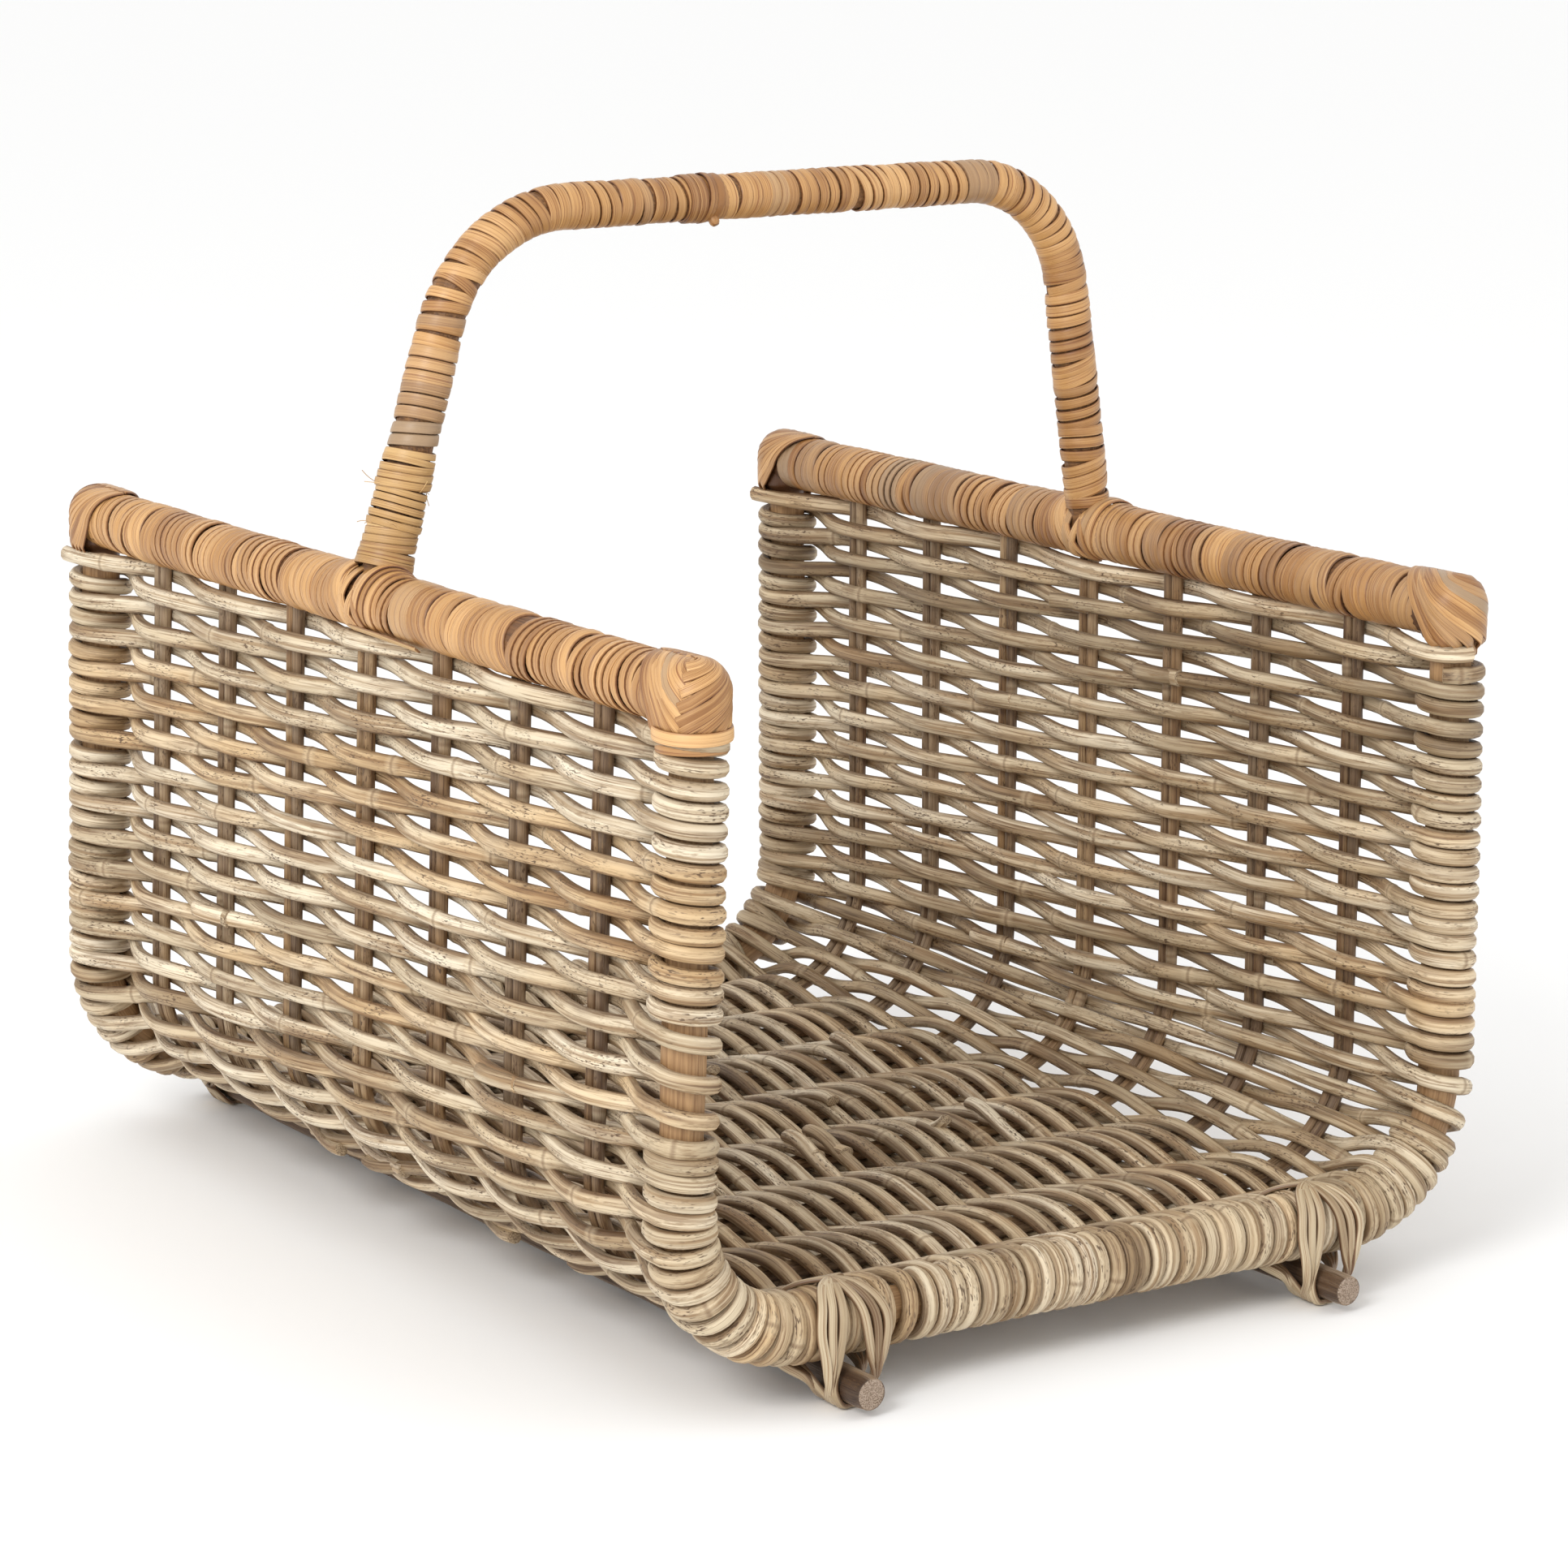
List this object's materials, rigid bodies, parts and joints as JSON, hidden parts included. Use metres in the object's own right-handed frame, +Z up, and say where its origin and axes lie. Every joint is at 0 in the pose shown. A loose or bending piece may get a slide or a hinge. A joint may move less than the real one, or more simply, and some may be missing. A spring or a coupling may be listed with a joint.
{
  "type": "log basket",
  "caption": "Rattan log basket open at both ends: woven walls and floor in one U-shaped sheet, wrapped side rails, an arched carrying handle and round runners under the floor.",
  "frame": {"origin": "middle of the footprint, on the ground that the runner lashings rest on", "axes": "+X to the basket's right wall, +Y from the front opening to the rear one along the logs, +Z up"},
  "size_m": [0.423, 0.558, 0.4684],
  "materials": {
    "weave": "weathered grey-beige rattan, matt with lengthwise ridges",
    "stake": "darker grey-brown rattan rods, matt",
    "pole": "bare rattan pole, satin",
    "peel": "honey-coloured rattan peel, slightly glossy",
    "straw_peel": "pale straw-coloured rattan peel, slightly glossy",
    "lashing": "split cane, satin",
    "runner": "grey-brown rattan pole with speckled cut ends",
    "nail": "plain bright steel"
  },
  "bodies": {
    "root": {"front_frame_pole": "pole", "rear_frame_pole": "pole", "stake_1_front": "stake", "stake_1_rear": "stake", "stake_2_front": "stake", "stake_2_rear": "stake", "stake_3_front": "stake", "stake_3_rear": "stake", "stake_4_front": "stake", "stake_4_rear": "stake", "stake_5_front": "stake", "stake_5_rear": "stake", "stake_6_front": "stake", "stake_6_rear": "stake", "stake_7_front": "stake", "stake_7_rear": "stake", "left_wall_weave": "weave", "right_wall_weave": "weave", "left_corner_weave": "weave", "right_corner_weave": "weave", "floor_weave": "weave", "left_top_rail": "pole", "left_rail_front_wrap": "peel", "left_rail_rear_wrap": "peel", "left_handle_joint_lashing": "peel", "left_handle_pin": "nail", "left_runner": "runner", "front_left_rail_cap": "peel", "front_left_corner_nail": "nail", "front_left_runner_lashing": "lashing", "rear_left_rail_cap": "peel", "rear_left_corner_nail": "nail", "rear_left_runner_lashing": "lashing", "right_top_rail": "pole", "right_rail_front_wrap": "peel", "right_rail_rear_wrap": "peel", "right_handle_joint_lashing": "peel", "right_handle_pin": "nail", "right_runner": "runner", "front_right_rail_cap": "peel", "front_right_corner_nail": "nail", "front_right_runner_lashing": "lashing", "rear_right_rail_cap": "peel", "rear_right_corner_nail": "nail", "rear_right_runner_lashing": "lashing", "handle_pole": "pole", "handle_left_foot_wrap": "straw_peel", "handle_left_leg_wrap": "peel", "handle_left_shoulder_wrap": "peel", "handle_grip_wrap": "peel", "handle_right_shoulder_wrap": "peel", "handle_right_leg_wrap": "peel"}
  },
  "joints": []
}
